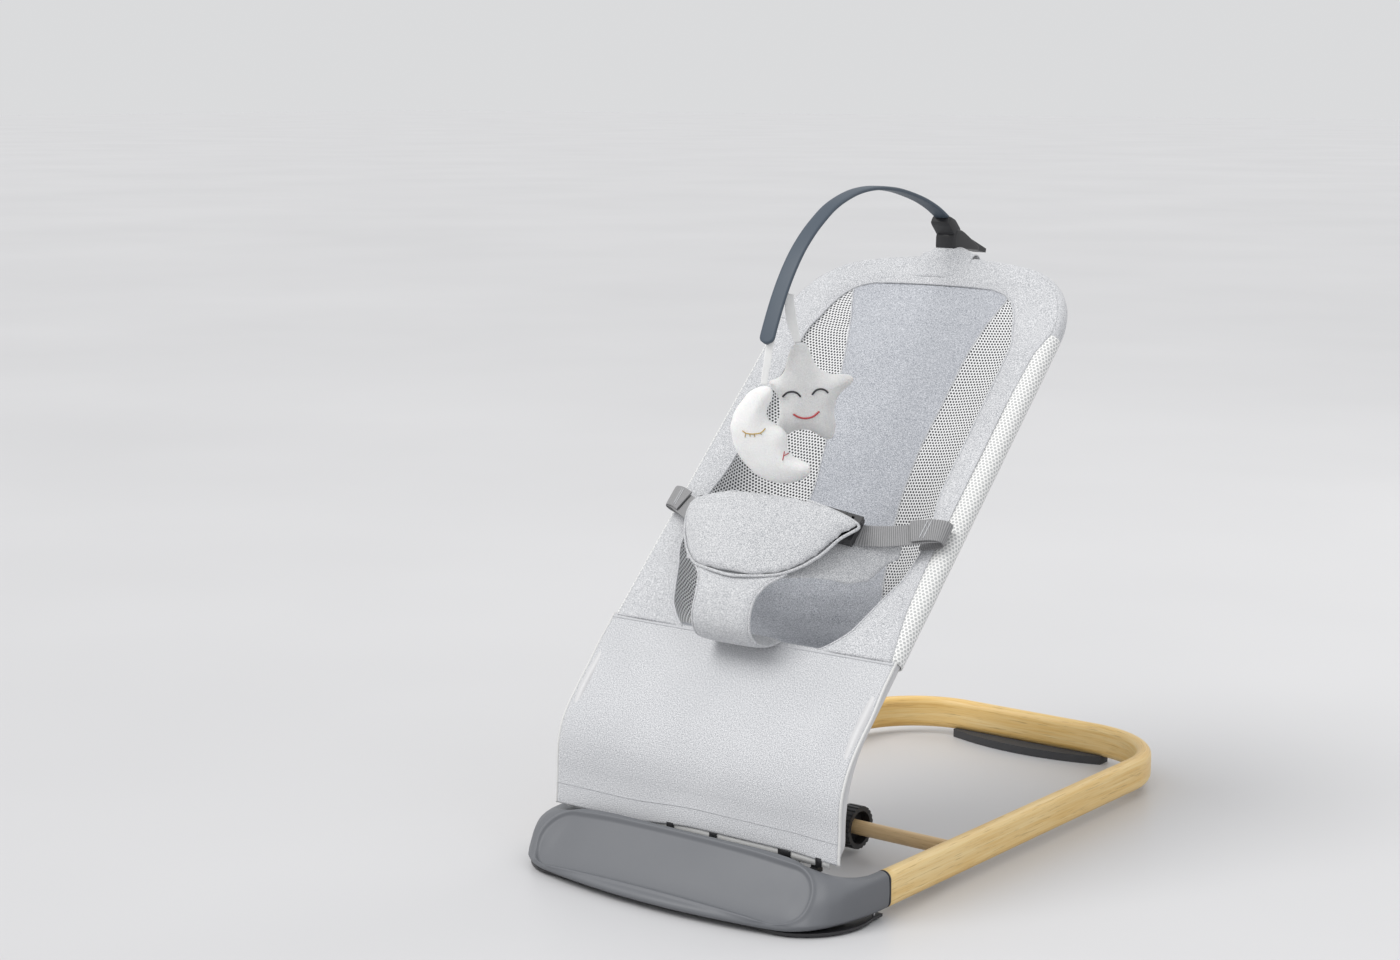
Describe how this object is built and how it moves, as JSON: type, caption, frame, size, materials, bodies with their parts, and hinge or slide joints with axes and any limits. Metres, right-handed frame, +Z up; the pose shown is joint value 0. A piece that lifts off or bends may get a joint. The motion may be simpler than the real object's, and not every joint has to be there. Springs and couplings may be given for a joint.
{
  "type": "baby bouncer seat",
  "caption": "Low baby bouncer with a reclining fabric bucket seat on a bent rail base, padded belt, side-release buckles and a curved toy bar with hanging plush toys.",
  "frame": {"origin": "middle of the footprint, on the floor", "axes": "+Z up, -Y towards the front foot where the child's feet point, +X to the right seen from the front"},
  "size_m": [0.418, 0.771, 0.7092],
  "materials": {
    "foot_plastic": "fine-textured slate grey moulding",
    "black_plastic": "satin black moulding",
    "rail_wood": "bent beech-coloured laminate, satin lacquer",
    "rod_wood": "round rod, satin lacquer",
    "steel": "zinc-plated",
    "frame_steel": "light grey powder coat",
    "rubber": "matte",
    "heather_cloth": "heather grey woven cloth",
    "mesh_cloth": "open air mesh",
    "white_mesh": "white spacer mesh",
    "white_trim": "white trim strip",
    "webbing": "dark grey ribbed webbing",
    "toy_bar": "slate blue strap",
    "plush_grey": "short plush",
    "plush_white": "short plush"
  },
  "bodies": {
    "base": {"rail_frame": "rail_wood", "foot_shell": "foot_plastic", "foot_base_plate": "black_plastic", "foot_screws": "steel", "foot_pads": "rubber", "rail_spigots": "black_plastic", "joint_gaskets": "rubber", "rear_pad": "rubber", "rear_pad_screws": "steel", "cross_rod": "rod_wood", "detent_wheels": "black_plastic"},
    "hub": {"barrel_upper": "black_plastic", "barrel_lower": "black_plastic", "spring_arm_left": "steel", "spring_arm_right": "steel", "arm_clamp_left": "black_plastic", "arm_clamp_right": "black_plastic"},
    "knob_left": {"lock_knob_left": "black_plastic"},
    "knob_right": {"lock_knob_right": "black_plastic"},
    "seat": {"seat_hoop": "frame_steel", "front_crossbar": "frame_steel", "crossbar_plugs": "black_plastic", "hook_clips": "black_plastic", "hem_strip": "white_trim", "cover_border": "heather_cloth", "bucket_panel": "heather_cloth", "bucket_mesh_left": "mesh_cloth", "bucket_mesh_right": "mesh_cloth", "side_gusset_left": "white_mesh", "side_gusset_right": "white_mesh", "cover_back": "mesh_cloth", "head_rim": "heather_cloth", "apron_panel": "heather_cloth", "apron_piping_left": "white_trim", "apron_piping_right": "white_trim", "crotch_strap": "heather_cloth", "belt_panel": "heather_cloth", "buckle_female_left": "black_plastic", "buckle_female_right": "black_plastic", "webbing_left": "webbing", "webbing_right": "webbing", "webbing_loops": "webbing", "toy_clamp": "black_plastic", "clamp_pin": "steel", "jaw_pin": "steel"},
    "flap": {"belt_flap": "heather_cloth"},
    "plug_left": {"buckle_male_left": "black_plastic"},
    "plug_right": {"buckle_male_right": "black_plastic"},
    "latch_upper_left": {"buckle_latch_upper_left": "black_plastic"},
    "latch_lower_left": {"buckle_latch_lower_left": "black_plastic"},
    "latch_upper_right": {"buckle_latch_upper_right": "black_plastic"},
    "latch_lower_right": {"buckle_latch_lower_right": "black_plastic"},
    "jaw": {"clamp_jaw": "black_plastic"},
    "toy_arm": {"arm_socket": "black_plastic", "toy_strap": "toy_bar"},
    "star": {"star_toy": "plush_grey", "star_ribbon": "plush_white"},
    "moon": {"moon_toy": "plush_white", "moon_ribbon": "plush_white"}
  },
  "joints": [
    {"name": "recline", "type": "hinge", "parent": "base", "child": "hub", "pos_m": [0, -0.0985, 0.0285], "axis": [-1, 0, 0], "range_deg": [0, 22]},
    {"name": "knob_left_turn", "type": "hinge", "parent": "hub", "child": "knob_left", "pos_m": [-0.0615, -0.0985, 0.0285], "axis": [-1, 0, 0], "range_deg": [0, 60]},
    {"name": "knob_right_turn", "type": "hinge", "parent": "hub", "child": "knob_right", "pos_m": [0.0615, -0.0985, 0.0285], "axis": [1, 0, 0], "range_deg": [0, 60]},
    {"name": "bounce", "type": "hinge", "parent": "hub", "child": "seat", "pos_m": [0, -0.2935, 0.062], "axis": [-1, 0, 0], "range_deg": [-2, 5], "stiffness_Nm_per_rad": 250, "springref_deg": -0.69},
    {"name": "flap_open", "type": "hinge", "parent": "seat", "child": "flap", "pos_m": [0, -0.17548, 0.39378], "axis": [-1, 0, 0], "range_deg": [0, 80]},
    {"name": "buckle_left_pull", "type": "slide", "parent": "seat", "child": "plug_left", "axis": [-0.9628, 0.1918, -0.1904], "range_m": [0, 0.026], "deforming": ["webbing_left"]},
    {"name": "buckle_right_pull", "type": "slide", "parent": "seat", "child": "plug_right", "axis": [0.9628, 0.1918, -0.1904], "range_m": [0, 0.026], "deforming": ["webbing_right"]},
    {"name": "latch_upper_left_press", "type": "slide", "parent": "plug_left", "child": "latch_upper_left", "axis": [0, -0.7046, -0.7096], "range_m": [0, 0.0018], "stiffness_N_per_m": 500},
    {"name": "latch_lower_left_press", "type": "slide", "parent": "plug_left", "child": "latch_lower_left", "axis": [0, 0.7046, 0.7096], "range_m": [0, 0.0018], "stiffness_N_per_m": 500},
    {"name": "latch_upper_right_press", "type": "slide", "parent": "plug_right", "child": "latch_upper_right", "axis": [0, -0.7046, -0.7096], "range_m": [0, 0.0018], "stiffness_N_per_m": 500},
    {"name": "latch_lower_right_press", "type": "slide", "parent": "plug_right", "child": "latch_lower_right", "axis": [0, 0.7046, 0.7096], "range_m": [0, 0.0018], "stiffness_N_per_m": 500},
    {"name": "jaw_open", "type": "hinge", "parent": "seat", "child": "jaw", "pos_m": [0, 0.2005, 0.6375], "axis": [1, 0, 0], "range_deg": [0, 20], "stiffness_Nm_per_rad": 0.5},
    {"name": "toy_arm_swing", "type": "hinge", "parent": "seat", "child": "toy_arm", "pos_m": [0, 0.1715, 0.647], "axis": [-1, 0, 0], "range_deg": [0, 90]},
    {"name": "star_swing", "type": "hinge", "parent": "toy_arm", "child": "star", "pos_m": [0.007, -0.1455, 0.61], "axis": [0.6157, -0.788, 0], "range_deg": [-22, 22]},
    {"name": "moon_swing", "type": "hinge", "parent": "toy_arm", "child": "moon", "pos_m": [0, -0.17139, 0.55509], "axis": [0.6157, -0.788, 0], "range_deg": [-22, 22]}
  ]
}
